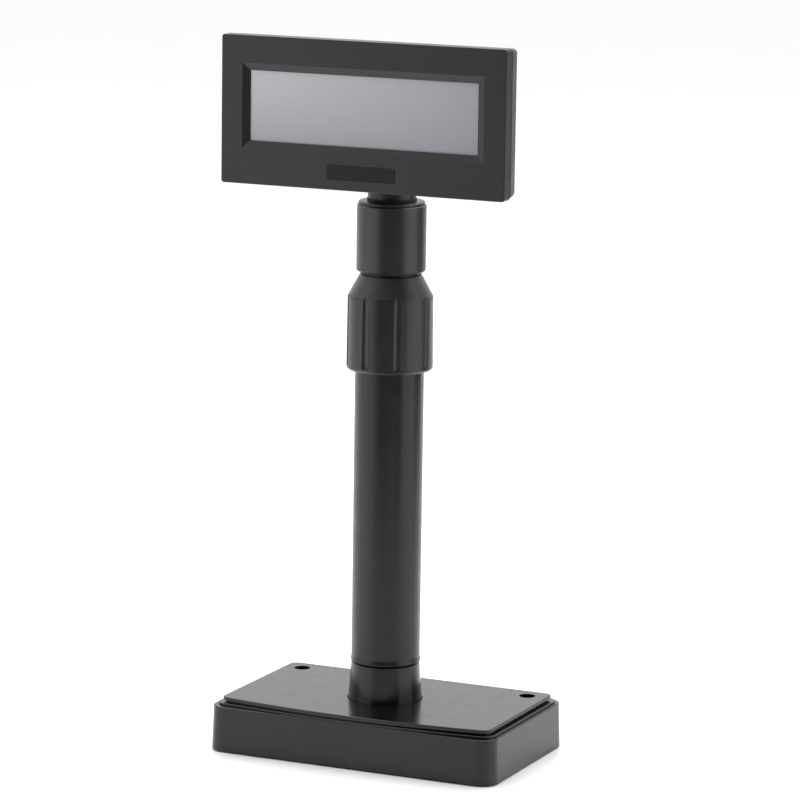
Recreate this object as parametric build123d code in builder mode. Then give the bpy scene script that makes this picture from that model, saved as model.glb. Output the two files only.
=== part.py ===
from build123d import *
import os

# Customer pole display: a wide, flat display head on a telescopic pole that
# stands on a weighted base. Millimetres, +Z up, front towards -Y.
# The origin is on the pole's axis, on the surface that the feet stand on.

os.makedirs("parts", exist_ok=True)

# ---------------------------------------------------------------- driving sizes
# Base
base_width = 181.0
base_depth = 110.8
base_centre_y = 3.1          # the pole stands a little in front of the middle
base_corner = 10.0
base_wall = 2.5
foot_proud = 1.0             # how far the feet lift the cover off the table
wall_draft = 0.65            # how far each wall leans in between bottom and rim
rim_height = 27.0            # height of the walls' rim
ledge_height = 28.3          # height of the ledge that stands inside the rim
plateau_height = 31.4        # height of the raised top
top_thickness = 1.9          # the raised top's edge, above the groove under it
groove_depth = 1.6           # how far the groove under the top's edge goes in
side_inset = 5.4             # from the bottom edge in to the raised top
front_inset = 8.2
back_inset = 6.4
ledge_width = 2.7            # how far the ledge reaches out from the raised top
plateau_corner = 5.0
ledge_bow = 4.2              # how far the ledge's front edge curves forwards
front_bow = 7.0              # the same for the raised top

# Pole
tube_radius = 20.0
tube_wall = 2.0
inner_tube_radius = 16.6
inner_tube_wall = 1.6
socket_seam_height = 53.3    # where the tube meets its socket
socket_foot_radius = 21.6    # the socket widens to this where it leaves the base
collar_radius = 25.0
collar_bottom = 226.4
collar_shoulder = 269.0
collar_top = 281.8
collar_rim_radius = 18.0
flute_count = 8
flute_depth = 1.1
flute_curve = 3.8            # radius of a flute's rounded hollow
flute_turn = 35.0            # one flute's angle from +X, in degrees
sleeve_bottom = 282.9
sleeve_top = 322.1
pole_travel = 120.0

# Head
head_width = 176.0
head_height = 84.9
head_bottom = 333.6
head_front_y = -43.0
head_corner = 1.8
inner_corner = 0.6           # the same corners, inside the walls
bezel_depth = 8.05
reveal = 1.6                 # the groove between bezel and rear case
case_back_y = -23.0          # the rear case's flat back
hump_back_y = -15.5          # the raised part of the back
case_wall = 2.0
window_width = 140.8
window_height = 39.8
window_centre_z = 378.5
window_slope = 4.4           # width of the sloping frame round the window
window_recess = 1.8
nameplate_width = 42.2
nameplate_height = 8.4
nameplate_rise = 10.2        # from the head's bottom edge up to its middle
hinge_z = 357.0
hinge_radius = 12.0
neck_radius = 13.9
disc_radius = 19.1

# Fits, as radial clearances
slide_fit = 0.05             # plastic bush on a tube that slides through it
running_fit = 0.05           # pin or spigot that turns in its bore
free_gap = 0.35              # curved faces that must never rub
seat_gap = 0.1               # flat faces of pieces that move past each other

# Screws
m3_hole = 1.5
m3_head = 2.8
small_hole = 1.1
small_head = 2.2

# ---------------------------------------------------------------- worked out
base_front = base_centre_y - base_depth / 2
base_back = base_centre_y + base_depth / 2
bottom_half = base_width / 2
plateau_half = bottom_half - side_inset
plateau_front = base_front + front_inset
plateau_back = base_back - back_inset

plate_thickness = 2.0
plate_bottom = foot_proud + 0.6
plate_top = plate_bottom + plate_thickness
tube_inside = tube_radius - tube_wall
inner_tube_inside = inner_tube_radius - inner_tube_wall

head_centre_z = head_bottom + head_height / 2
bezel_back_y = head_front_y + bezel_depth


def save(piece, name):
    """Label a finished piece and write it to its own STEP file."""
    piece.label = name
    export_step(piece, f"parts/{name}.step")


def front_plane(y):
    """A sketch plane across the head at depth y: sketch x is +X, y is +Z."""
    return Plane(origin=(0, y, 0), x_dir=(1, 0, 0), z_dir=(0, -1, 0))


def side_plane(x):
    """A sketch plane square to X: sketch x is +Y, y is +Z."""
    return Plane(origin=(x, 0, 0), x_dir=(0, 1, 0), z_dir=(1, 0, 0))


def base_outline(half_width, front_y, back_y, bow, corner):
    """Rounded rectangle whose front edge curves forwards by bow."""
    with BuildSketch() as outline:
        with BuildLine():
            Polyline(
                (half_width, front_y),
                (half_width, back_y),
                (-half_width, back_y),
                (-half_width, front_y),
            )
            if bow > 0:
                ThreePointArc((-half_width, front_y), (0, front_y - bow), (half_width, front_y))
            else:
                Line((-half_width, front_y), (half_width, front_y))
        make_face()
        fillet(outline.vertices(), radius=corner)
    return outline.sketch


def ring_of(plane, outer, inner, height):
    """A plain round ring, made as a finished solid."""
    with BuildPart() as ring:
        with BuildSketch(plane):
            Circle(outer)
            Circle(inner, mode=Mode.SUBTRACT)
        extrude(amount=height)
    return ring.part


# ================================================================ base
rim_half = bottom_half - wall_draft
rim_front = base_front + wall_draft
rim_back = base_back - wall_draft
top_bottom = plateau_height - top_thickness
hollow_inset = groove_depth + base_wall

socket_hole = socket_foot_radius + 0.5
anchor_x = plateau_half - 11.8
anchor_y = plateau_back - 11.6
anchor_bore = 4.75
anchor_hole = 2.4
anchor_floor = plate_top + 3.0
anchor_post = 7.0
anchor_spots = [(anchor_x, anchor_y), (-anchor_x, anchor_y)]
cover_spots = [
    (bottom_half - 17, base_front + 18),
    (-bottom_half + 17, base_front + 18),
    (bottom_half - 17, base_back - 38),
    (-bottom_half + 17, base_back - 38),
]
cover_post = 4.0
grommet_z = 16.0
grommet_radius = 5.0
# a flat round pad on the leaning back wall, flush with it at the pad's foot
pad_radius = 8.0
pad_depth = 5.5
pad_lean = (grommet_z - pad_radius - foot_proud) / (rim_height - foot_proud)
pad_y = base_back - wall_draft * pad_lean

# Base cover: a drafted shell whose raised top, with a bowed front edge, stands on
# a ledge over a narrow groove.
with BuildPart() as base_cover:
    with BuildSketch(Plane.XY.offset(foot_proud)):
        add(base_outline(bottom_half, base_front, base_back, 0, base_corner))
    with BuildSketch(Plane.XY.offset(rim_height)):
        add(base_outline(rim_half, rim_front, rim_back, 0, base_corner))
    loft()
    fillet(base_cover.faces().sort_by(Axis.Z)[-1].edges(), radius=0.6)
    with BuildSketch(Plane.XY.offset(rim_height - 1)):
        add(base_outline(plateau_half + ledge_width, plateau_front - ledge_width,
                         plateau_back + ledge_width, ledge_bow, plateau_corner + ledge_width))
    extrude(amount=ledge_height - rim_height + 1)
    fillet(base_cover.faces().sort_by(Axis.Z)[-1].edges(), radius=0.5)
    with BuildSketch(Plane.XY.offset(ledge_height - 1)):
        add(base_outline(plateau_half - groove_depth, plateau_front + groove_depth,
                         plateau_back - groove_depth, front_bow, plateau_corner - groove_depth))
    extrude(amount=top_bottom - ledge_height + 1.5)
    with BuildSketch(Plane.XY.offset(top_bottom)):
        add(base_outline(plateau_half, plateau_front, plateau_back, front_bow, plateau_corner))
    extrude(amount=top_thickness)
    fillet(base_cover.faces().sort_by(Axis.Z)[-1].edges(), radius=0.6)
    # the hollow underneath, in two steps like the outside
    with BuildSketch(Plane.XY.offset(foot_proud)):
        add(base_outline(bottom_half - base_wall, base_front + base_wall, base_back - base_wall,
                         0, base_corner - base_wall))
    with BuildSketch(Plane.XY.offset(rim_height - base_wall)):
        add(base_outline(rim_half - base_wall, rim_front + base_wall, rim_back - base_wall,
                         0, base_corner - base_wall))
    loft(mode=Mode.SUBTRACT)
    with BuildSketch(Plane.XY.offset(rim_height - base_wall - 0.5)):
        add(base_outline(plateau_half - hollow_inset, plateau_front + hollow_inset,
                         plateau_back - hollow_inset, front_bow, plateau_corner - groove_depth))
    extrude(amount=plateau_height - rim_height + 0.5, mode=Mode.SUBTRACT)
    # posts for the screw-down holes and for the bottom plate's screws
    with BuildSketch(Plane.XY.offset(plate_top)):
        with Locations(*anchor_spots):
            Circle(anchor_post)
        with Locations(*cover_spots):
            Circle(cover_post)
    extrude(amount=plateau_height - base_wall - plate_top + 0.5)
    with BuildSketch(Plane.XY.offset(anchor_floor)):
        with Locations(*anchor_spots):
            Circle(anchor_bore)
    extrude(amount=plateau_height, mode=Mode.SUBTRACT)
    with BuildSketch(Plane.XY.offset(plate_top)):
        with Locations(*anchor_spots):
            Circle(anchor_hole)
    extrude(amount=plateau_height, mode=Mode.SUBTRACT)
    with BuildSketch(Plane.XY.offset(plate_top)):
        with Locations(*cover_spots):
            Circle(small_hole)
    extrude(amount=14, mode=Mode.SUBTRACT)
    # the pole's hole in the top and the cable outlet at the back
    with BuildSketch(Plane.XY.offset(rim_height - base_wall)):
        Circle(socket_hole)
    extrude(amount=plateau_height, mode=Mode.SUBTRACT)
    with BuildSketch(front_plane(pad_y)):
        with Locations((0, grommet_z)):
            Circle(pad_radius)
    extrude(amount=pad_depth)
    with BuildSketch(front_plane(base_back + 1)):
        with Locations((0, grommet_z)):
            Circle(grommet_radius)
    extrude(amount=14, mode=Mode.SUBTRACT)
save(base_cover.part, "base_cover")

# Bottom plate: pressed steel sheet that closes the cover from below.
plate_gap = base_wall + 1.2
socket_screw_circle = 29.0
with BuildPart() as base_plate:
    with BuildSketch(Plane.XY.offset(plate_bottom)):
        add(base_outline(bottom_half - plate_gap, base_front + plate_gap, base_back - plate_gap,
                         0, base_corner - plate_gap))
    extrude(amount=plate_thickness)
    with BuildSketch(Plane.XY.offset(plate_bottom)):
        with Locations(*anchor_spots):
            Circle(anchor_hole)
        with Locations(*cover_spots):
            Circle(m3_hole)
        with PolarLocations(socket_screw_circle, 4, start_angle=45):
            Circle(m3_hole)
    extrude(amount=plate_thickness, mode=Mode.SUBTRACT)
    with Locations(*[(x, y, plate_bottom) for x, y in cover_spots]):
        Cone(m3_head, m3_hole, 1.4, align=(Align.CENTER, Align.CENTER, Align.MIN),
             mode=Mode.SUBTRACT)
    with Locations(Plane.XY.offset(plate_bottom)):
        with PolarLocations(socket_screw_circle, 4, start_angle=45):
            Cone(m3_head, m3_hole, 1.4, align=(Align.CENTER, Align.CENTER, Align.MIN),
                 mode=Mode.SUBTRACT)
save(base_plate.part, "base_plate")

# Ballast: three steel bars round the pole's socket, against tipping.
flange_radius = 34.0
ballast_length = 72.0
ballast_width = 32.0
ballast_height = 9.0
side_bar_x = flange_radius + 2 + ballast_width / 2
back_bar_width = ballast_width / 2
back_bar_y = flange_radius + 2 + back_bar_width / 2
with BuildPart() as ballast_blocks:
    with BuildSketch(Plane.XY.offset(plate_top)):
        with Locations((side_bar_x, -ballast_height), (-side_bar_x, -ballast_height)):
            RectangleRounded(ballast_width, ballast_length, 2)
        with Locations((0, back_bar_y)):
            RectangleRounded(ballast_length, back_bar_width, 2)
    extrude(amount=ballast_height)
save(ballast_blocks.part, "ballast_blocks")

# Feet: rubber pads that stand a little proud of the cover's edge, one at each
# corner and one under the pole.
foot_radius = 6.0
foot_spots = [
    (0, 0),
    (bottom_half - 30, base_front + 14),
    (-bottom_half + 30, base_front + 14),
    (bottom_half - 34, base_back - 14),
    (-bottom_half + 34, base_back - 14),
]
with BuildPart() as rubber_feet:
    with BuildSketch(Plane.XY):
        with Locations(*foot_spots):
            Circle(foot_radius)
    extrude(amount=plate_bottom)
    chamfer(rubber_feet.faces().filter_by(Axis.Z).group_by(Axis.Z)[0].edges(), length=0.4)
save(rubber_feet.part, "rubber_feet")


def countersunk_screws(spots, head_z, shank_radius, length):
    """Flat-head screws driven upwards, one solid at each spot."""
    with BuildPart() as screws:
        with Locations(*[(x, y, head_z) for x, y in spots]):
            Cone(m3_head - 0.1, shank_radius, 1.3, align=(Align.CENTER, Align.CENTER, Align.MIN))
            Cylinder(shank_radius, length, align=(Align.CENTER, Align.CENTER, Align.MIN))
        with Locations(*[(x, y, head_z) for x, y in spots]):
            Box(2.6, 0.5, 0.6, align=(Align.CENTER, Align.CENTER, Align.MIN), mode=Mode.SUBTRACT)
            Box(0.5, 2.6, 0.6, align=(Align.CENTER, Align.CENTER, Align.MIN), mode=Mode.SUBTRACT)
    return screws.part


save(countersunk_screws(cover_spots, plate_bottom, small_hole - 0.02, 11), "base_screws")

# Cable outlet: a rubber grommet in the pad on the cover's back wall.
grommet_flange = 1.2
grommet_length = 7.2
with BuildPart() as cable_grommet:
    with BuildSketch(front_plane(pad_y + grommet_flange)):
        with Locations((0, grommet_z)):
            Circle(grommet_radius - 0.05)
    extrude(amount=grommet_length)
    with BuildSketch(front_plane(pad_y + grommet_flange)):
        with Locations((0, grommet_z)):
            Circle(grommet_radius + 1.6)
    extrude(amount=grommet_flange)
    fillet(cable_grommet.faces().sort_by(Axis.Y)[-1].edges(), radius=0.6)
    with BuildSketch(front_plane(pad_y + grommet_flange)):
        with Locations((0, grommet_z)):
            Circle(2.6)
    extrude(amount=grommet_length, mode=Mode.SUBTRACT)
save(cable_grommet.part, "cable_grommet")

# ================================================================ pole, fixed part
spigot_radius = tube_inside - 0.02
spigot_top = socket_seam_height + 31
socket_bore = 14.0
flange_height = 4.0

# Socket: screwed to the bottom plate, leaves the cover as a steep cone.
with BuildPart() as pole_socket:
    with BuildSketch(Plane.XZ):
        with BuildLine():
            Polyline(
                (socket_foot_radius, plateau_height),
                (tube_radius, socket_seam_height - 0.6),
                (tube_radius - 0.6, socket_seam_height),
                (spigot_radius, socket_seam_height),
                (spigot_radius, spigot_top - 1),
                (spigot_radius - 1, spigot_top),
                (socket_bore, spigot_top),
                (socket_bore, plate_top),
                (flange_radius, plate_top),
                (flange_radius, plate_top + flange_height),
                (socket_foot_radius, plate_top + flange_height),
                close=True,
            )
        make_face()
    revolve(axis=Axis.Z)
    with BuildSketch(Plane.XY.offset(plate_top)):
        with PolarLocations(socket_screw_circle, 4, start_angle=45):
            Circle(small_hole)
    extrude(amount=flange_height, mode=Mode.SUBTRACT)
save(pole_socket.part, "pole_socket")

socket_spots = [(v.X, v.Y) for v in (
    Vector(socket_screw_circle, 0, 0).rotate(Axis.Z, 45 + 90 * turn) for turn in range(4))]
save(countersunk_screws(socket_spots, plate_bottom, small_hole - 0.02, 5.5), "socket_screws")

# Outer tube: drawn tube pushed over the socket's spigot, its lower end rolled out a little.
adapter_top = 262.0
adapter_bottom = 236.0
tube_bottom = socket_seam_height + 0.6
tube_lip = 0.4
with BuildPart() as outer_tube:
    with BuildSketch(Plane.XZ):
        with BuildLine():
            Polyline(
                (tube_inside, tube_bottom),
                (tube_radius, tube_bottom),
                (tube_radius + tube_lip, tube_bottom + 0.4),
                (tube_radius + tube_lip, tube_bottom + 0.8),
                (tube_radius, tube_bottom + 3.4),
                (tube_radius, adapter_top - 4),
                (tube_inside, adapter_top - 4),
                close=True,
            )
        make_face()
    revolve(axis=Axis.Z)
    with BuildSketch(Plane.XZ.offset(-tube_radius - 2)):
        with Locations((0, socket_seam_height + 16)):
            Circle(m3_hole)
    extrude(amount=tube_wall + 4, mode=Mode.SUBTRACT)
save(outer_tube.part, "outer_tube")

# Tube screw: holds the tube on the spigot, from behind.
with BuildPart() as tube_screw:
    with BuildSketch(Plane.XZ.offset(-tube_radius - 1.3)):
        with Locations((0, socket_seam_height + 16)):
            Circle(m3_head)
    extrude(amount=1.3)
    with BuildSketch(Plane.XZ.offset(-tube_radius - 0.2)):
        with Locations((0, socket_seam_height + 16)):
            Circle(m3_hole - 0.05)
    extrude(amount=2.1)
    fillet(tube_screw.faces().sort_by(Axis.Y)[-1].edges(), radius=0.8)
    with BuildSketch(Plane.XZ.offset(-tube_radius - 1.4)):
        with Locations((0, socket_seam_height + 16)):
            Rectangle(2.8, 0.6)
            Rectangle(0.6, 2.8)
    extrude(amount=0.8, mode=Mode.SUBTRACT)
save(tube_screw.part, "tube_screw")

# Threaded adapter: glued round the tube's end, carries the locking collar's cam,
# and guides the inner tube with its inward lip.
adapter_radius = 21.9
with BuildPart() as thread_adapter:
    with BuildSketch(Plane.XZ):
        with BuildLine():
            Polyline(
                (tube_radius, adapter_bottom),
                (adapter_radius, adapter_bottom),
                (adapter_radius, adapter_top),
                (inner_tube_radius + slide_fit, adapter_top),
                (inner_tube_radius + slide_fit, adapter_bottom),
                (tube_inside, adapter_bottom),
                (tube_inside, adapter_top - 4),
                (tube_radius, adapter_top - 4),
                close=True,
            )
        make_face()
    revolve(axis=Axis.Z)
    for height in (adapter_bottom + 3, adapter_bottom + 9, adapter_bottom + 15):
        with BuildSketch(Plane.XY.offset(height)):
            Circle(adapter_radius + 0.01)
            Circle(adapter_radius - 0.7, mode=Mode.SUBTRACT)
        extrude(amount=2, mode=Mode.SUBTRACT)
save(thread_adapter.part, "thread_adapter")

# Collet: split tapered ring that the collar squeezes on the inner tube.
collet_bottom = adapter_top
collet_top = collar_top - 3.2
with BuildPart() as clamp_collet:
    with BuildSketch(Plane.XZ):
        with BuildLine():
            Polyline(
                (inner_tube_radius + slide_fit, collet_bottom),
                (adapter_radius - 0.4, collet_bottom),
                (adapter_radius - 0.4, collet_bottom + 4),
                (inner_tube_radius + 1.4, collet_top),
                (inner_tube_radius + slide_fit, collet_top),
                close=True,
            )
        make_face()
    revolve(axis=Axis.Z)
    with BuildSketch(Plane.XY.offset(collet_bottom + 3)):
        with PolarLocations(0, 4):
            Rectangle(60, 1.2)
    extrude(amount=collet_top, mode=Mode.SUBTRACT)
save(clamp_collet.part, "clamp_collet")

# ================================================================ locking collar
collar_bore = adapter_radius + free_gap
shoulder_radius = collar_radius - 0.3
with BuildPart() as lock_collar:
    with BuildSketch(Plane.XZ):
        with BuildLine():
            Polyline(
                (tube_radius + free_gap, collar_bottom),
                (collar_radius - 1.0, collar_bottom),
                (collar_radius, collar_bottom + 1.3),
                (shoulder_radius, collar_shoulder),
                (collar_rim_radius, collar_top - 0.4),
                (collar_rim_radius - 0.4, collar_top),
                (inner_tube_radius + free_gap, collar_top),
                (inner_tube_radius + free_gap, collet_top + 0.4),
                (inner_tube_radius + 1.4 + free_gap, collet_top + 0.4),
                (collar_bore, collet_bottom + 4.4),
                (collar_bore, adapter_bottom - 0.6),
                (tube_radius + free_gap, adapter_bottom - 1.6),
                close=True,
            )
        make_face()
    revolve(axis=Axis.Z)
    shoulder = lock_collar.edges().filter_by(GeomType.CIRCLE).filter_by(
        lambda edge: abs(edge.radius - shoulder_radius) < 0.01)
    fillet(shoulder, radius=3)
    # grip flutes: open at the shoulder, closed just above the bottom edge
    with BuildSketch(Plane.XY.offset(collar_bottom + 2.6)):
        with PolarLocations(collar_radius - flute_depth + flute_curve, flute_count,
                            start_angle=flute_turn):
            Circle(flute_curve)
    extrude(amount=collar_top - collar_bottom, mode=Mode.SUBTRACT)
save(lock_collar.part, "lock_collar")

# ================================================================ sliding part
guide_bottom = spigot_top + 0.5
guide_top = adapter_bottom - pole_travel - 1.0
inner_tube_top = sleeve_top - 6.7
with BuildPart() as inner_tube:
    with BuildSketch(Plane.XY.offset(guide_bottom + 2)):
        Circle(inner_tube_radius)
        Circle(inner_tube_inside, mode=Mode.SUBTRACT)
    extrude(amount=inner_tube_top - guide_bottom - 2)
save(inner_tube.part, "inner_tube")

with BuildPart() as guide_bush:
    with BuildSketch(Plane.XZ):
        with BuildLine():
            Polyline(
                (inner_tube_inside, guide_bottom),
                (tube_inside - slide_fit - 0.8, guide_bottom),
                (tube_inside - slide_fit, guide_bottom + 0.8),
                (tube_inside - slide_fit, guide_top),
                (inner_tube_radius, guide_top),
                (inner_tube_radius, guide_bottom + 2),
                (inner_tube_inside, guide_bottom + 2),
                close=True,
            )
        make_face()
    revolve(axis=Axis.Z)
save(guide_bush.part, "guide_bush")

# Upper sleeve: fixed on the inner tube, its top is the swivel's seat.
seat_bore = 9.0
stop_radius = 15.5
stop_groove_depth = 2.2
with BuildPart() as head_sleeve:
    with BuildSketch(Plane.XZ):
        with BuildLine():
            Polyline(
                (inner_tube_radius, sleeve_bottom),
                (tube_radius - 1.5, sleeve_bottom),
                (tube_radius, sleeve_bottom + 1.3),
                (tube_radius, sleeve_top - 0.5),
                (tube_radius - 0.5, sleeve_top),
                (seat_bore, sleeve_top),
                (seat_bore, inner_tube_top),
                (inner_tube_radius, inner_tube_top),
                close=True,
            )
        make_face()
    revolve(axis=Axis.Z)
    # curved groove for the swivel's stop peg, with one solid stop at the back
    with BuildSketch(Plane.XY.offset(sleeve_top - stop_groove_depth)):
        Circle(stop_radius + 1.6)
        Circle(stop_radius - 1.6, mode=Mode.SUBTRACT)
        with Locations((0, stop_radius)):
            Rectangle(5, 5, mode=Mode.SUBTRACT)
    extrude(amount=stop_groove_depth, mode=Mode.SUBTRACT)
    with BuildSketch(Plane.XZ.offset(-tube_radius - 1)):
        with Locations((0, sleeve_bottom + 14)):
            Circle(m3_hole)
    extrude(amount=tube_radius - inner_tube_radius + 1.5, mode=Mode.SUBTRACT)
save(head_sleeve.part, "head_sleeve")

with BuildPart() as sleeve_screw:
    with BuildSketch(Plane.XZ.offset(-tube_radius + 0.4)):
        with Locations((0, sleeve_bottom + 14)):
            Circle(m3_hole - 0.02)
            RegularPolygon(0.8, 6, mode=Mode.SUBTRACT)
    extrude(amount=1.5)
    with BuildSketch(Plane.XZ.offset(-tube_radius + 1.9)):
        with Locations((0, sleeve_bottom + 14)):
            Circle(m3_hole - 0.02)
    extrude(amount=1.4)
save(sleeve_screw.part, "sleeve_screw")

# ================================================================ swivel
disc_bottom = sleeve_top + seat_gap
disc_top = disc_bottom + 1.8
spigot_bottom = inner_tube_top - 5
barrel_half = 12.2
pin_radius = 2.5
cable_bore = 5.0
with BuildPart() as swivel_neck:
    with BuildSketch(Plane.XZ):
        with BuildLine():
            Polyline(
                (0, spigot_bottom),
                (seat_bore - running_fit - 0.5, spigot_bottom),
                (seat_bore - running_fit, spigot_bottom + 0.5),
                (seat_bore - running_fit, disc_bottom),
                (disc_radius - 0.3, disc_bottom),
                (disc_radius, disc_bottom + 0.3),
                (disc_radius, disc_top - 0.5),
                (disc_radius - 0.5, disc_top),
                (neck_radius, disc_top),
                (neck_radius, hinge_z - 19),
                (neck_radius - 3, hinge_z - 16),
                (0, hinge_z - 16),
                close=True,
            )
        make_face()
    revolve(axis=Axis.Z)
    # knuckle: a stem between the neck and the hinge barrel
    with BuildSketch(side_plane(-barrel_half)):
        with Locations((0, hinge_z - 10)):
            Rectangle(2 * (neck_radius - 4.5), 20)
        with Locations((0, hinge_z)):
            Circle(hinge_radius)
    extrude(amount=2 * barrel_half)
    # cable way up the middle and out at the front, and the hinge pin's bore
    with BuildSketch(Plane.XY.offset(spigot_bottom)):
        Circle(cable_bore)
    extrude(amount=hinge_z - 24 - spigot_bottom + cable_bore, mode=Mode.SUBTRACT)
    with BuildSketch(front_plane(0)):
        with Locations((0, hinge_z - 24)):
            Circle(cable_bore - 1)
    extrude(amount=neck_radius + 1, mode=Mode.SUBTRACT)
    with BuildSketch(side_plane(-barrel_half)):
        with Locations((0, hinge_z)):
            Circle(pin_radius + running_fit)
    extrude(amount=2 * barrel_half, mode=Mode.SUBTRACT)
    # stop peg under the disc
    with BuildSketch(Plane.XY.offset(disc_bottom - 1.8)):
        with Locations((0, -stop_radius)):
            Circle(1.2)
    extrude(amount=2.0)
save(swivel_neck.part, "swivel_neck")

# Rubber ring round the neck's foot.
save(ring_of(Plane.XY.offset(disc_top), neck_radius + 0.45, neck_radius, 1.7), "neck_ring")

# Retaining ring and wave washer under the sleeve's seat.
washer_gap = 0.8
save(ring_of(Plane.XY.offset(inner_tube_top - washer_gap - 1.4), 13.0,
             seat_bore - running_fit, 1.4), "retaining_ring")
save(ring_of(Plane.XY.offset(inner_tube_top - washer_gap), 12.4,
             seat_bore - running_fit + 0.1, washer_gap - seat_gap), "spring_washer")

# ================================================================ head: bezel
opening_width = window_width + 0.4
opening_height = window_height + 0.4
front_wall = window_recess + 0.6
wall_back_y = head_front_y + front_wall
lcd_post_x = 79.0
lcd_post_z = 25.5
case_post_x = 70.0
case_post_top = head_bottom + head_height - 7.0
case_post_low = head_bottom + 7.0
lcd_posts = [(x, window_centre_z + z) for x in (-lcd_post_x, lcd_post_x)
             for z in (-lcd_post_z, lcd_post_z)]
case_posts = [(x, z) for x in (-case_post_x, case_post_x)
              for z in (case_post_low, case_post_top)]
lens_thickness = 1.8
tape_thickness = 0.6
frame_front_y = wall_back_y + lens_thickness + tape_thickness
frame_depth = 6.6
board_thickness = 1.6
board_front_y = frame_front_y + frame_depth
case_post_y = case_back_y - 3.0

with BuildPart() as front_bezel:
    with BuildSketch(front_plane(bezel_back_y)):
        with Locations((0, head_centre_z)):
            RectangleRounded(head_width, head_height, head_corner)
    extrude(amount=bezel_depth)
    fillet(front_bezel.faces().sort_by(Axis.Y)[0].edges(), radius=0.5)
    with BuildSketch(front_plane(bezel_back_y)):
        with Locations((0, head_centre_z)):
            RectangleRounded(head_width - 2 * case_wall, head_height - 2 * case_wall,
                             inner_corner)
    extrude(amount=bezel_depth - front_wall, mode=Mode.SUBTRACT)
    # sloping frame round the window, then the window's own opening
    with BuildSketch(front_plane(head_front_y)):
        with Locations((0, window_centre_z)):
            Rectangle(window_width + 2 * window_slope, window_height + 2 * window_slope)
    with BuildSketch(front_plane(head_front_y + window_recess)):
        with Locations((0, window_centre_z)):
            Rectangle(opening_width, opening_height)
    loft(mode=Mode.SUBTRACT)
    with BuildSketch(front_plane(wall_back_y)):
        with Locations((0, window_centre_z)):
            Rectangle(opening_width, opening_height)
    extrude(amount=front_wall, mode=Mode.SUBTRACT)
    # posts for the display module and for the rear case's screws
    with BuildSketch(front_plane(board_front_y)):
        with Locations(*lcd_posts):
            Circle(2.8)
    extrude(amount=board_front_y - wall_back_y + 0.5)
    with BuildSketch(front_plane(case_post_y)):
        with Locations(*case_posts):
            Circle(3.2)
    extrude(amount=case_post_y - wall_back_y + 0.5)
    with BuildSketch(front_plane(board_front_y)):
        with Locations(*lcd_posts):
            Circle(small_hole)
    extrude(amount=6, mode=Mode.SUBTRACT)
    with BuildSketch(front_plane(case_post_y)):
        with Locations(*case_posts):
            Circle(small_hole)
    extrude(amount=12, mode=Mode.SUBTRACT)
    # shallow pocket for the blank nameplate
    with BuildSketch(front_plane(head_front_y)):
        with Locations((0, head_bottom + nameplate_rise)):
            RectangleRounded(nameplate_width + 0.2, nameplate_height + 0.2, 0.5)
    extrude(amount=-0.5, mode=Mode.SUBTRACT)
save(front_bezel.part, "front_bezel")

with BuildPart() as nameplate:
    with BuildSketch(front_plane(head_front_y + 0.5)):
        with Locations((0, head_bottom + nameplate_rise)):
            RectangleRounded(nameplate_width, nameplate_height, 0.4)
    extrude(amount=0.6)
save(nameplate.part, "nameplate")

# Window, its adhesive frame and the display module behind it
lens_width = opening_width + 5
lens_height = opening_height + 5
with BuildPart() as display_window:
    with BuildSketch(front_plane(wall_back_y + lens_thickness)):
        with Locations((0, window_centre_z)):
            RectangleRounded(lens_width, lens_height, 1)
    extrude(amount=lens_thickness)
save(display_window.part, "display_window")

with BuildPart() as window_gasket:
    with BuildSketch(front_plane(frame_front_y)):
        with Locations((0, window_centre_z)):
            RectangleRounded(lens_width, lens_height, 1)
            Rectangle(window_width + 1, window_height + 1, mode=Mode.SUBTRACT)
    extrude(amount=tape_thickness)
save(window_gasket.part, "window_gasket")

frame_width = 150.0
frame_height = 50.0
with BuildPart() as lcd_frame:
    with BuildSketch(front_plane(board_front_y)):
        with Locations((0, window_centre_z)):
            RectangleRounded(frame_width, frame_height, 1)
    extrude(amount=frame_depth)
    with BuildSketch(front_plane(board_front_y)):
        with Locations((0, window_centre_z)):
            Rectangle(frame_width - 1.6, frame_height - 1.6)
    extrude(amount=frame_depth - 0.8, mode=Mode.SUBTRACT)
    with BuildSketch(front_plane(frame_front_y)):
        with Locations((0, window_centre_z)):
            Rectangle(window_width + 1, window_height + 1)
    extrude(amount=-1, mode=Mode.SUBTRACT)
save(lcd_frame.part, "lcd_frame")

glass_front_y = frame_front_y + 0.8
glass_thickness = 2.6
with BuildPart() as lcd_glass:
    with BuildSketch(front_plane(glass_front_y + glass_thickness)):
        with Locations((0, window_centre_z)):
            Rectangle(frame_width - 1.8, frame_height - 1.8)
    extrude(amount=glass_thickness)
save(lcd_glass.part, "lcd_glass")

with BuildPart() as backlight_panel:
    with BuildSketch(front_plane(board_front_y)):
        with Locations((0, window_centre_z)):
            Rectangle(frame_width - 1.8, frame_height - 1.8)
    extrude(amount=board_front_y - glass_front_y - glass_thickness)
save(backlight_panel.part, "backlight_panel")

with BuildPart() as lcd_board:
    with BuildSketch(front_plane(board_front_y + board_thickness)):
        with Locations((0, window_centre_z)):
            RectangleRounded(2 * lcd_post_x + 6, 2 * lcd_post_z + 6, 1)
        with Locations(*lcd_posts):
            Circle(m3_hole, mode=Mode.SUBTRACT)
    extrude(amount=board_thickness)
save(lcd_board.part, "lcd_board")


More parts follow.
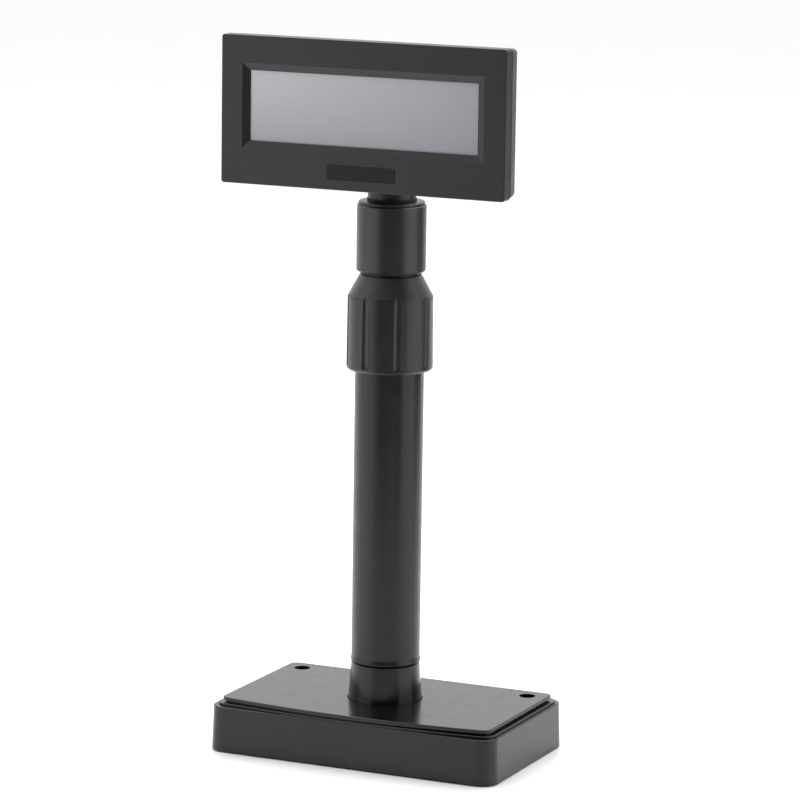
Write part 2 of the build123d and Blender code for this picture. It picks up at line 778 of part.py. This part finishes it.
def pan_screws(spots, seat_y, length):
    """Pan-head screws driven towards -Y from the plane y = seat_y."""
    with BuildPart() as screws:
        with BuildSketch(front_plane(seat_y + 1.4)):
            with Locations(*spots):
                Circle(small_head)
        extrude(amount=1.4)
        fillet(screws.faces().filter_by(Axis.Y).group_by(Axis.Y)[-1].edges(), radius=0.5)
        with BuildSketch(front_plane(seat_y)):
            with Locations(*spots):
                Circle(small_hole - 0.02)
        extrude(amount=length)
        with BuildSketch(front_plane(seat_y + 1.4)):
            with Locations(*spots):
                Rectangle(2.4, 0.5)
                Rectangle(0.5, 2.4)
        extrude(amount=0.7, mode=Mode.SUBTRACT)
    return screws.part


save(pan_screws(lcd_posts, board_front_y + board_thickness, 6.5), "lcd_screws")

# ================================================================ head: rear case
case_front_y = bezel_back_y + reveal
case_width = head_width - 0.8
case_height = head_height - 0.8
case_taper = 1.5             # how far each side leans in towards the back
hump_width = 96.0
hump_height = 52.0
hump_centre_z = 367.0
hump_slope = 7.0
lug_width = 9.0
lug_inner = barrel_half + 1.2
lug_recess = 4.6
control_x = 54.0
control_z = 20.0
control_posts = [(x, hump_centre_z + 7 + z) for x in (-control_x, control_x)
                 for z in (-control_z, control_z)]
case_inside_y = case_back_y - case_wall
tongue_reach = 2.0
control_seat_y = case_inside_y - 1.4

with BuildPart() as rear_case:
    with BuildSketch(front_plane(case_front_y)):
        with Locations((0, head_centre_z)):
            RectangleRounded(case_width, case_height, head_corner)
    with BuildSketch(front_plane(case_back_y)):
        with Locations((0, head_centre_z)):
            RectangleRounded(case_width - 2 * case_taper, case_height - 1.2, head_corner + 1)
    loft()
    fillet(rear_case.faces().sort_by(Axis.Y)[-1].edges(), radius=2.2)
    with BuildSketch(front_plane(case_back_y - 0.5)):
        with Locations((0, hump_centre_z)):
            RectangleRounded(hump_width, hump_height, 6)
    with BuildSketch(front_plane(hump_back_y)):
        with Locations((0, hump_centre_z)):
            RectangleRounded(hump_width - 2 * hump_slope, hump_height - 2 * hump_slope, 4)
    loft()
    fillet(rear_case.faces().sort_by(Axis.Y)[-1].edges(), radius=1.5)
    # hinge lugs either side of the neck's barrel
    for start in (lug_inner, -lug_inner - lug_width):
        with BuildSketch(side_plane(start)):
            with Locations((0, hinge_z)):
                Circle(hinge_radius)
            with Locations((-9.2, hinge_z)):
                Rectangle(18.4, 2 * hinge_radius)
        extrude(amount=lug_width)
    # tongue that fits inside the bezel
    with BuildSketch(front_plane(bezel_back_y - tongue_reach)):
        with Locations((0, head_centre_z)):
            RectangleRounded(head_width - 2 * case_wall - 0.2, head_height - 2 * case_wall - 0.2,
                             inner_corner)
    extrude(amount=-tongue_reach - reveal - 1)
    # hollow inside
    with BuildSketch(front_plane(case_inside_y)):
        with Locations((0, head_centre_z)):
            RectangleRounded(head_width - 4 * case_wall, head_height - 4 * case_wall + 1, 1)
    extrude(amount=case_inside_y - bezel_back_y + tongue_reach, mode=Mode.SUBTRACT)
    with BuildSketch(front_plane(case_inside_y - 0.5)):
        with Locations((0, hump_centre_z)):
            RectangleRounded(hump_width - 2 * case_wall, hump_height - 2 * case_wall, 4)
    with BuildSketch(front_plane(hump_back_y - case_wall)):
        with Locations((0, hump_centre_z)):
            RectangleRounded(hump_width - 2 * hump_slope - 2 * case_wall,
                             hump_height - 2 * hump_slope - 2 * case_wall, 3)
    loft(mode=Mode.SUBTRACT)
    # posts for the controller board, and screw pillars
    with BuildSketch(front_plane(case_inside_y + 0.5)):
        with Locations(*control_posts):
            Circle(2.8)
    extrude(amount=case_inside_y + 0.5 - control_seat_y)
    with BuildSketch(front_plane(case_inside_y + 0.5)):
        with Locations(*case_posts):
            Circle(4.2)
    extrude(amount=case_inside_y + 0.5 - case_post_y)
    with BuildSketch(front_plane(control_seat_y)):
        with Locations(*control_posts):
            Circle(small_hole)
    extrude(amount=-2.6, mode=Mode.SUBTRACT)
    with BuildSketch(front_plane(case_back_y + 1)):
        with Locations(*case_posts):
            Circle(small_head + 0.3)
    extrude(amount=2.6, mode=Mode.SUBTRACT)
    with BuildSketch(front_plane(case_back_y + 1)):
        with Locations(*case_posts):
            Circle(m3_hole)
    extrude(amount=8, mode=Mode.SUBTRACT)
    # the hinge pin's bore, with recesses for its head and nut
    with BuildSketch(side_plane(-40)):
        with Locations((0, hinge_z)):
            Circle(pin_radius + 0.01)
    extrude(amount=80, mode=Mode.SUBTRACT)
    for start in (lug_inner + lug_width - lug_recess, -lug_inner - lug_width):
        with BuildSketch(side_plane(start)):
            with Locations((0, hinge_z)):
                Circle(5.2)
        extrude(amount=lug_recess, mode=Mode.SUBTRACT)
    # cable entry below the hump, in front of the neck
    with BuildSketch(front_plane(case_back_y + 1)):
        with Locations((0, head_bottom + 5.8)):
            RectangleRounded(20, 5.6, 2)
    extrude(amount=case_wall + 2, mode=Mode.SUBTRACT)
save(rear_case.part, "rear_case")

save(pan_screws(case_posts, case_back_y - 1.6, 10), "case_screws")

# Controller board and what is on it
control_centre_z = hump_centre_z + 7
with BuildPart() as controller_board:
    with BuildSketch(front_plane(control_seat_y)):
        with Locations((0, control_centre_z)):
            RectangleRounded(2 * control_x + 8, 2 * control_z + 8, 1)
        with Locations(*control_posts):
            Circle(m3_hole, mode=Mode.SUBTRACT)
    extrude(amount=board_thickness)
save(controller_board.part, "controller_board")

chip_sizes = [
    (-28, 6, 14, 14, 1.4),
    (-6, 6, 10, 10, 1.2),
    (14, 8, 8, 6, 1.6),
    (30, 4, 12, 8, 2.6),
    (-30, -10, 8, 5, 1.6),
    (-12, -11, 5, 4, 1.2),
]
with BuildPart() as controller_chips:
    for x, z, width, height, thickness in chip_sizes:
        with BuildSketch(front_plane(control_seat_y)):
            with Locations((x, control_centre_z + z)):
                Rectangle(width, height)
        extrude(amount=-thickness)
save(controller_chips.part, "controller_chips")

with BuildPart() as cable_header:
    with BuildSketch(front_plane(control_seat_y + 5)):
        with Locations((10, control_centre_z - 12)):
            Rectangle(22, 6)
    extrude(amount=5)
    with BuildSketch(front_plane(control_seat_y + 5)):
        with Locations((10, control_centre_z - 12)):
            Rectangle(20, 4)
    extrude(amount=4, mode=Mode.SUBTRACT)
    with BuildSketch(front_plane(control_seat_y + 4.4)):
        with Locations((10, control_centre_z - 12)):
            with GridLocations(2.5, 0, 7, 1):
                Rectangle(0.6, 0.6)
    extrude(amount=3.6)
save(cable_header.part, "cable_header")


def board_screws():
    """Screws driven towards +Y, from the controller board's front side."""
    with BuildPart() as screws:
        seat = control_seat_y - board_thickness
        with BuildSketch(front_plane(seat)):
            with Locations(*control_posts):
                Circle(small_head)
        extrude(amount=1.2)
        with BuildSketch(front_plane(seat)):
            with Locations(*control_posts):
                Circle(small_hole - 0.02)
        extrude(amount=-3.8)
    return screws.part


save(board_screws(), "board_screws")

# ================================================================ tilt hinge
bolt_seat = lug_inner + lug_width - lug_recess
with BuildPart() as tilt_bolt:
    with BuildSketch(side_plane(-bolt_seat - 3.0)):
        with Locations((0, hinge_z)):
            Circle(4.5)
    extrude(amount=3.0)
    fillet(tilt_bolt.faces().sort_by(Axis.X)[0].edges(), radius=1.0)
    with BuildSketch(side_plane(-bolt_seat)):
        with Locations((0, hinge_z)):
            Circle(pin_radius)
    extrude(amount=2 * bolt_seat + 3.2)
    with BuildSketch(side_plane(-bolt_seat - 3.0)):
        with Locations((0, hinge_z)):
            RegularPolygon(2.2, 6)
    extrude(amount=1.6, mode=Mode.SUBTRACT)
save(tilt_bolt.part, "tilt_bolt")

with BuildPart() as tilt_nut:
    with BuildSketch(side_plane(bolt_seat)):
        with Locations((0, hinge_z)):
            RegularPolygon(4.6, 6)
            Circle(pin_radius + 0.01, mode=Mode.SUBTRACT)
    extrude(amount=3.0)
save(tilt_nut.part, "tilt_nut")

with BuildPart() as tilt_washers:
    for start in (barrel_half + 0.1, -barrel_half - 1.1):
        with BuildSketch(side_plane(start)):
            with Locations((0, hinge_z)):
                Circle(hinge_radius - 2)
                Circle(pin_radius + 0.01, mode=Mode.SUBTRACT)
        extrude(amount=1.0)
save(tilt_washers.part, "tilt_washers")

with BuildPart() as hinge_caps:
    for start in (bolt_seat + lug_recess - 1.2, -bolt_seat - lug_recess):
        with BuildSketch(side_plane(start)):
            with Locations((0, hinge_z)):
                Circle(5.15)
        extrude(amount=1.2)
save(hinge_caps.part, "hinge_caps")
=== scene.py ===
import math

import bpy
from mathutils import Matrix, Vector


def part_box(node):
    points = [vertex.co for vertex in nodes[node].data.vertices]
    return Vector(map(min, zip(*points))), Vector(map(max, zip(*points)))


# Customer pole display: looks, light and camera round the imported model.
# Metres, +Z up, the head faces -Y. Angles are in degrees, and an azimuth of 0 is
# at -Y, 90 at +X.

MM = 0.001
CAMERA_AZIMUTH = 24.3484     # the lights are placed from it too

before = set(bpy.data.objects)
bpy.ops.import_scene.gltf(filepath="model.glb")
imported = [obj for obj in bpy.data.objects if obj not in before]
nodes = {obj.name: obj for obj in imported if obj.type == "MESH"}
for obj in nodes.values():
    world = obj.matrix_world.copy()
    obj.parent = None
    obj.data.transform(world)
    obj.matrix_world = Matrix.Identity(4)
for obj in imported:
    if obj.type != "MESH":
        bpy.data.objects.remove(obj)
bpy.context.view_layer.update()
scene = bpy.context.scene


# ---------------------------------------------------------------- shader helpers
def node(tree, kind, **settings):
    """A new shader node with its properties set."""
    made = tree.nodes.new(kind)
    for key, value in settings.items():
        setattr(made, key, value)
    return made


def noise(tree, coords, size, detail=2.0, roughness=0.5, stretch=None):
    """A noise whose features are about size metres across; stretch scales its axes."""
    source = coords
    if stretch:
        mapping = node(tree, "ShaderNodeMapping")
        mapping.inputs["Scale"].default_value = stretch
        tree.links.new(coords, mapping.inputs["Vector"])
        source = mapping.outputs["Vector"]
    made = node(tree, "ShaderNodeTexNoise")
    made.inputs["Scale"].default_value = 1.0 / size
    made.inputs["Detail"].default_value = detail
    made.inputs["Roughness"].default_value = roughness
    tree.links.new(source, made.inputs["Vector"])
    return made.outputs["Fac"]


def remap(tree, value, low, high, from_low=0.3, from_high=0.7):
    """Value moved from its own range, a noise's usual one by default, to low..high."""
    made = node(tree, "ShaderNodeMapRange")
    made.inputs["From Min"].default_value = from_low
    made.inputs["From Max"].default_value = from_high
    made.inputs["To Min"].default_value = low
    made.inputs["To Max"].default_value = high
    tree.links.new(value, made.inputs["Value"])
    return made.outputs["Result"]


def blend_colours(tree, factor, first, second):
    """A colour between first and second, by factor."""
    made = node(tree, "ShaderNodeMix", data_type="RGBA")
    tree.links.new(factor, made.inputs[0])
    # The mix node's colours are its sockets 6 and 7, and its mixed colour is output 2.
    made.inputs[6].default_value = (*first, 1.0)
    made.inputs[7].default_value = (*second, 1.0)
    return made.outputs[2]


def bumps(tree, shader, layers):
    """Bump layers, each (height, depth in metres), stacked on the shader's normal."""
    last = None
    for height, depth in layers:
        made = node(tree, "ShaderNodeBump")
        made.inputs["Strength"].default_value = 1.0
        made.inputs["Distance"].default_value = depth
        tree.links.new(height, made.inputs["Height"])
        if last:
            tree.links.new(last, made.inputs["Normal"])
        last = made.outputs["Normal"]
    tree.links.new(last, shader.inputs["Normal"])


def start(name, **sockets):
    """A material with one Principled shader; sockets set its uniform values."""
    material = bpy.data.materials.new(name)
    material.use_nodes = True
    tree = material.node_tree
    shader = next(n for n in tree.nodes if n.type == "BSDF_PRINCIPLED")
    for key, value in sockets.items():
        shader.inputs[key.replace("_", " ")].default_value = value
    coords = node(tree, "ShaderNodeTexCoord").outputs["Object"]
    return material, tree, shader, coords


# ---------------------------------------------------------------- kinds of material
DRIFT_SIZE = 30 * MM         # slow drift of a moulding's tone
PATCH_SIZE = 11 * MM         # satin patches
WAVE_SIZE = 4 * MM           # the slow wave of a moulded or painted surface
SPECK_RATIO = 2.2            # tone specks against the surface's grain
SPECK_SHARE = 0.5
DRIFT_RANGE = (0.25, 0.75)


def moulded(name, dark, light, ior, roughness, grain, depth, wave=0.0, stretch=None, **sockets):
    """Moulded or painted surface: tone drifts, satin patches, fine grain and a slow wave."""
    material, tree, shader, coords = start(name, IOR=ior, **sockets)
    drift = noise(tree, coords, DRIFT_SIZE, detail=3.0)
    speck = noise(tree, coords, grain * SPECK_RATIO, detail=2.0)
    tone = node(tree, "ShaderNodeMath", operation="MULTIPLY_ADD")
    tree.links.new(speck, tone.inputs[0])
    tone.inputs[1].default_value = SPECK_SHARE
    tree.links.new(remap(tree, drift, *DRIFT_RANGE), tone.inputs[2])
    colour = blend_colours(tree, tone.outputs[0], dark, light)
    tree.links.new(colour, shader.inputs["Base Color"])
    patch = noise(tree, coords, PATCH_SIZE, detail=4.0, roughness=0.6)
    tree.links.new(remap(tree, patch, *roughness), shader.inputs["Roughness"])
    layers = [(noise(tree, coords, grain, detail=1.5, stretch=stretch), depth)]
    if wave:
        layers.append((noise(tree, coords, WAVE_SIZE, detail=1.0), wave))
    bumps(tree, shader, layers)
    return material


def metal(name, dark, light, roughness, grain, depth):
    """Plated metal: its tone drifts, and its grain shows in gloss and bumps."""
    material, tree, shader, coords = start(name, Metallic=1.0)
    drift = noise(tree, coords, 6 * MM, detail=4.0)
    tree.links.new(blend_colours(tree, remap(tree, drift, 0.0, 1.0), dark, light),
                   shader.inputs["Base Color"])
    lines = noise(tree, coords, grain, detail=3.0)
    tree.links.new(remap(tree, lines, *roughness), shader.inputs["Roughness"])
    bumps(tree, shader, [(lines, depth)])
    return material


BOARD_GREEN = (0.012, 0.10, 0.045)
TRACK_GREEN = (0.022, 0.17, 0.07)
TRACKS_PER_METRE = 150
TRACK_DEPTH = 0.03 * MM


def circuit_board(name):
    """Solder mask with tracks under it, in the plane of the boards."""
    material, tree, shader, coords = start(name, Roughness=0.35, IOR=1.5)
    flat = node(tree, "ShaderNodeMapping")
    flat.inputs["Rotation"].default_value = (math.radians(90), 0, 0)
    tree.links.new(coords, flat.inputs["Vector"])
    tracks = node(tree, "ShaderNodeTexBrick", offset=0.37, squash=1.6)
    tracks.inputs["Scale"].default_value = TRACKS_PER_METRE
    tracks.inputs["Mortar Size"].default_value = 0.05
    tracks.inputs["Mortar Smooth"].default_value = 0.2
    tree.links.new(flat.outputs["Vector"], tracks.inputs["Vector"])
    colour = blend_colours(tree, tracks.outputs["Fac"], BOARD_GREEN, TRACK_GREEN)
    tree.links.new(colour, shader.inputs["Base Color"])
    bumps(tree, shader, [(tracks.outputs["Fac"], TRACK_DEPTH)])
    return material


GLASS_DARK = (0.10, 0.115, 0.10)
GLASS_LIGHT = (0.14, 0.155, 0.14)


def display_glass(name):
    """The display module's own glass, unlit: an even dark grey-green."""
    material, tree, shader, coords = start(name, IOR=1.5)
    film = noise(tree, coords, 50 * MM, detail=2.0)
    tree.links.new(blend_colours(tree, film, GLASS_DARK, GLASS_LIGHT), shader.inputs["Base Color"])
    tree.links.new(remap(tree, film, 0.15, 0.22), shader.inputs["Roughness"])
    return material


# Painted reflection: the window's colour runs between a shaded and a lit copy of its grey-blue
# tint, lighter towards the top left.
WINDOW_TINT_SHADED = (0.295, 0.307, 0.335)
WINDOW_TINT_LIT = (0.62, 0.632, 0.668)
PAINTED_SHEEN_LEFT, PAINTED_SHEEN_RIGHT = 0.98, 0.35
PAINTED_SHEEN_LOW, PAINTED_SHEEN_TOP = 0.25, 1.05


def tinted_window_with_painted_reflection(name):
    """Grey-blue filter for the piece of that name, with a painted reflection in its colour that
    makes it lighter towards its top left, and smears.
    """
    material, tree, shader, coords = start(name, IOR=1.49, Transmission_Weight=0.06)
    low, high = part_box(name)
    split = node(tree, "ShaderNodeSeparateXYZ")
    tree.links.new(coords, split.inputs[0])
    # Painted reflection: the colour is lighter towards the window's left and towards its top.
    reflection_across = remap(tree, split.outputs["X"], PAINTED_SHEEN_LEFT, PAINTED_SHEEN_RIGHT, low.x, high.x)
    reflection_upward = remap(tree, split.outputs["Z"], PAINTED_SHEEN_LOW, PAINTED_SHEEN_TOP, low.z, high.z)
    painted_reflection = node(tree, "ShaderNodeMath", operation="MULTIPLY")
    tree.links.new(reflection_across, painted_reflection.inputs[0])
    tree.links.new(reflection_upward, painted_reflection.inputs[1])
    colour = blend_colours(tree, painted_reflection.outputs[0], WINDOW_TINT_SHADED, WINDOW_TINT_LIT)
    tree.links.new(colour, shader.inputs["Base Color"])
    smear = noise(tree, coords, 18 * MM, detail=5.0, roughness=0.65, stretch=(0.6, 1.0, 1.6))
    tree.links.new(remap(tree, smear, 0.16, 0.24), shader.inputs["Roughness"])
    bumps(tree, shader, [(noise(tree, coords, 20 * MM, detail=1.0), 0.004 * MM)])
    return material


# ---------------------------------------------------------------- the materials
# Each finish below is followed by the pieces that have it.
finishes = [
    (moulded("moulded_black", dark=(0.0100, 0.0100, 0.0106), light=(0.0142, 0.0142, 0.0150),
             ior=1.5, roughness=(0.36, 0.45), grain=0.42 * MM, depth=0.010 * MM,
             wave=0.004 * MM),
     ["swivel_neck", "front_bezel", "rear_case", "hinge_caps"]),
    (moulded("base_black", dark=(0.0035, 0.0035, 0.0038), light=(0.0053, 0.0053, 0.0057),
             ior=1.43, roughness=(0.17, 0.24), grain=0.42 * MM, depth=0.006 * MM,
             wave=0.004 * MM),
     ["base_cover", "pole_socket"]),
    (moulded("sleeve_black", dark=(0.0100, 0.0100, 0.0106), light=(0.0135, 0.0135, 0.0142),
             ior=1.55, roughness=(0.32, 0.39), grain=0.42 * MM, depth=0.008 * MM,
             wave=0.004 * MM),
     ["head_sleeve"]),
    (moulded("collar_black", dark=(0.0105, 0.0105, 0.0110), light=(0.0145, 0.0145, 0.0152),
             ior=1.5, roughness=(0.28, 0.36), grain=0.40 * MM, depth=0.007 * MM,
             wave=0.006 * MM),
     ["lock_collar"]),
    (moulded("tube_paint", dark=(0.0052, 0.0052, 0.0056), light=(0.0070, 0.0070, 0.0076),
             ior=1.44, roughness=(0.26, 0.34), grain=0.9 * MM, depth=0.006 * MM,
             wave=0.008 * MM),
     ["outer_tube"]),
    (moulded("black_anodised", dark=(0.012, 0.012, 0.013), light=(0.018, 0.018, 0.019),
             ior=1.6, roughness=(0.22, 0.34), grain=0.25 * MM, depth=0.003 * MM,
             stretch=(1.0, 1.0, 0.06), Metallic=0.5),
     ["inner_tube"]),
    (moulded("natural_nylon", dark=(0.52, 0.51, 0.47), light=(0.62, 0.61, 0.57),
             ior=1.53, roughness=(0.40, 0.55), grain=0.6 * MM, depth=0.008 * MM,
             Subsurface_Weight=0.15),
     ["thread_adapter", "clamp_collet", "guide_bush", "tilt_washers"]),
    (moulded("soft_rubber", dark=(0.010, 0.010, 0.010), light=(0.022, 0.022, 0.021),
             ior=1.45, roughness=(0.62, 0.80), grain=0.5 * MM, depth=0.02 * MM),
     ["rubber_feet", "cable_grommet", "window_gasket", "neck_ring"]),
    (moulded("nameplate_black", dark=(0.0040, 0.0040, 0.0044), light=(0.0055, 0.0055, 0.006),
             ior=1.33, roughness=(0.18, 0.26), grain=0.3 * MM, depth=0.002 * MM),
     ["nameplate"]),
    (moulded("chip_resin", dark=(0.012, 0.012, 0.012), light=(0.022, 0.022, 0.022),
             ior=1.5, roughness=(0.45, 0.60), grain=0.2 * MM, depth=0.010 * MM),
     ["controller_chips", "cable_header"]),
    (moulded("white_diffuser", dark=(0.78, 0.80, 0.81), light=(0.86, 0.87, 0.88),
             ior=1.5, roughness=(0.35, 0.45), grain=1.2 * MM, depth=0.010 * MM),
     ["backlight_panel"]),
    (metal("zinc_plate", dark=(0.42, 0.43, 0.44), light=(0.60, 0.61, 0.62),
           roughness=(0.28, 0.46), grain=1.5 * MM, depth=0.008 * MM),
     ["base_plate", "ballast_blocks", "lcd_frame"]),
    (metal("screw_steel", dark=(0.50, 0.50, 0.49), light=(0.68, 0.67, 0.65),
           roughness=(0.20, 0.38), grain=0.25 * MM, depth=0.004 * MM),
     ["base_screws", "socket_screws", "tube_screw", "sleeve_screw", "lcd_screws",
      "case_screws", "board_screws", "tilt_bolt", "tilt_nut", "retaining_ring",
      "spring_washer"]),
    (circuit_board("board_green"), ["lcd_board", "controller_board"]),
    (display_glass("display_film"), ["lcd_glass"]),
    # The display window's colour holds a painted reflection, lighter towards its top left.
    (tinted_window_with_painted_reflection("display_window"), ["display_window"]),
]
for material, pieces in finishes:
    for piece in pieces:
        slots = nodes[piece].data.materials
        slots.clear()
        slots.append(material)

# ---------------------------------------------------------------- floor
# It ends close on the right, outside the picture, so that the right-hand sides
# reflect less of it.
FLOOR_FRONT = 0.75
FLOOR_LEFT = 6.0
FLOOR_RIGHT = 0.62
FLOOR_BACK = 9.0
FLOOR_WHITE = (0.93, 0.93, 0.935, 1.0)

mesh = bpy.data.meshes.new("floor")
mesh.from_pydata(
    [(-FLOOR_LEFT, -FLOOR_FRONT, 0), (FLOOR_RIGHT, -FLOOR_FRONT, 0),
     (FLOOR_RIGHT, FLOOR_BACK, 0), (-FLOOR_LEFT, FLOOR_BACK, 0)],
    [], [(0, 1, 2, 3)])
floor = bpy.data.objects.new("floor", mesh)
scene.collection.objects.link(floor)
floor_material, tree, shader, coords = start("floor_white", IOR=1.45)
shader.inputs["Base Color"].default_value = FLOOR_WHITE
tree.links.new(remap(tree, noise(tree, coords, 50 * MM), 0.30, 0.36), shader.inputs["Roughness"])
mesh.materials.append(floor_material)

# ---------------------------------------------------------------- light
def soft_box(name, azimuth, distance, height, aim_height, width, tall, radiance):
    """A large soft light at a distance from the pole's axis, aimed at a point on it."""
    data = bpy.data.lights.new(name, "AREA")
    data.shape = "RECTANGLE"
    data.size, data.size_y = width, tall
    data.energy = radiance * math.pi * width * tall
    light = bpy.data.objects.new(name, data)
    turn = math.radians(azimuth)
    light.location = (distance * math.sin(turn), -distance * math.cos(turn), height)
    aim = Vector((0, 0, aim_height)) - light.location
    light.rotation_euler = aim.to_track_quat("-Z", "Y").to_euler()
    scene.collection.objects.link(light)


soft_box("left_box", azimuth=CAMERA_AZIMUTH - 67, distance=1.3, height=0.35, aim_height=0.35,
         width=1.15, tall=1.7, radiance=1.25)
soft_box("right_box", azimuth=CAMERA_AZIMUTH + 69, distance=1.3, height=0.35, aim_height=0.35,
         width=1.25, tall=1.7, radiance=1.4)
soft_box("top_box", azimuth=200, distance=0.5, height=2.0, aim_height=0.0,
         width=2.4, tall=2.4, radiance=2.6)

# The surroundings grow brighter towards the backdrop and overhead, and are dark
# behind the camera. The camera itself sees an even white.
BACKDROP_TURN = 12           # the brightest side is this far left of straight behind
OVERHEAD_SHARE = 1.3
RAMP_START, RAMP_END = -0.1, 1.15
DARKEST, BRIGHTEST = 0.05, 1.25
SEEN_WHITE = 1.0

world = bpy.data.worlds.new("studio")
scene.world = world
world.use_nodes = True
tree = world.node_tree
tree.nodes.clear()
sky = node(tree, "ShaderNodeTexCoord").outputs["Generated"]
turn = math.radians(CAMERA_AZIMUTH + BACKDROP_TURN)
facing = node(tree, "ShaderNodeVectorMath", operation="DOT_PRODUCT")
tree.links.new(sky, facing.inputs[0])
facing.inputs[1].default_value = (-math.sin(turn), math.cos(turn), OVERHEAD_SHARE)
ramp = node(tree, "ShaderNodeMapRange", interpolation_type="SMOOTHSTEP")
ramp.inputs["From Min"].default_value = RAMP_START
ramp.inputs["From Max"].default_value = RAMP_END
ramp.inputs["To Min"].default_value = DARKEST
ramp.inputs["To Max"].default_value = BRIGHTEST
tree.links.new(facing.outputs["Value"], ramp.inputs["Value"])
surround = node(tree, "ShaderNodeBackground")
tree.links.new(ramp.outputs["Result"], surround.inputs["Strength"])
backdrop = node(tree, "ShaderNodeBackground")
backdrop.inputs["Strength"].default_value = SEEN_WHITE
for background in (surround, backdrop):
    background.inputs["Color"].default_value = (1.0, 1.0, 1.0, 1.0)
ray = node(tree, "ShaderNodeLightPath")
choose = node(tree, "ShaderNodeMixShader")
tree.links.new(ray.outputs["Is Camera Ray"], choose.inputs[0])
tree.links.new(surround.outputs[0], choose.inputs[1])
tree.links.new(backdrop.outputs[0], choose.inputs[2])
result = node(tree, "ShaderNodeOutputWorld")
tree.links.new(choose.outputs[0], result.inputs["Surface"])

# ---------------------------------------------------------------- camera
CAMERA_PLACE = (0.97404, -2.13716, 0.63194)
CAMERA_ELEVATION = 10.233    # it looks down by this much
CAMERA_ROLL = 0.8388         # its right side is turned up by this much
LENS_MM = 185.85
SENSOR_MM = 36.0

data = bpy.data.cameras.new("camera")
data.lens = LENS_MM
data.sensor_width = SENSOR_MM
data.clip_start, data.clip_end = 0.05, 50.0
camera = bpy.data.objects.new("camera", data)
around = Matrix.Rotation(math.radians(CAMERA_AZIMUTH), 4, "Z")
down = Matrix.Rotation(math.radians(90 - CAMERA_ELEVATION), 4, "X")
roll = Matrix.Rotation(math.radians(CAMERA_ROLL), 4, "Z")
camera.matrix_world = Matrix.Translation(CAMERA_PLACE) @ around @ down @ roll
scene.collection.objects.link(camera)
scene.camera = camera

scene.view_settings.view_transform = "Standard"
scene.view_settings.look = "None"
scene.view_settings.exposure = 0.0
scene.view_settings.gamma = 1.0
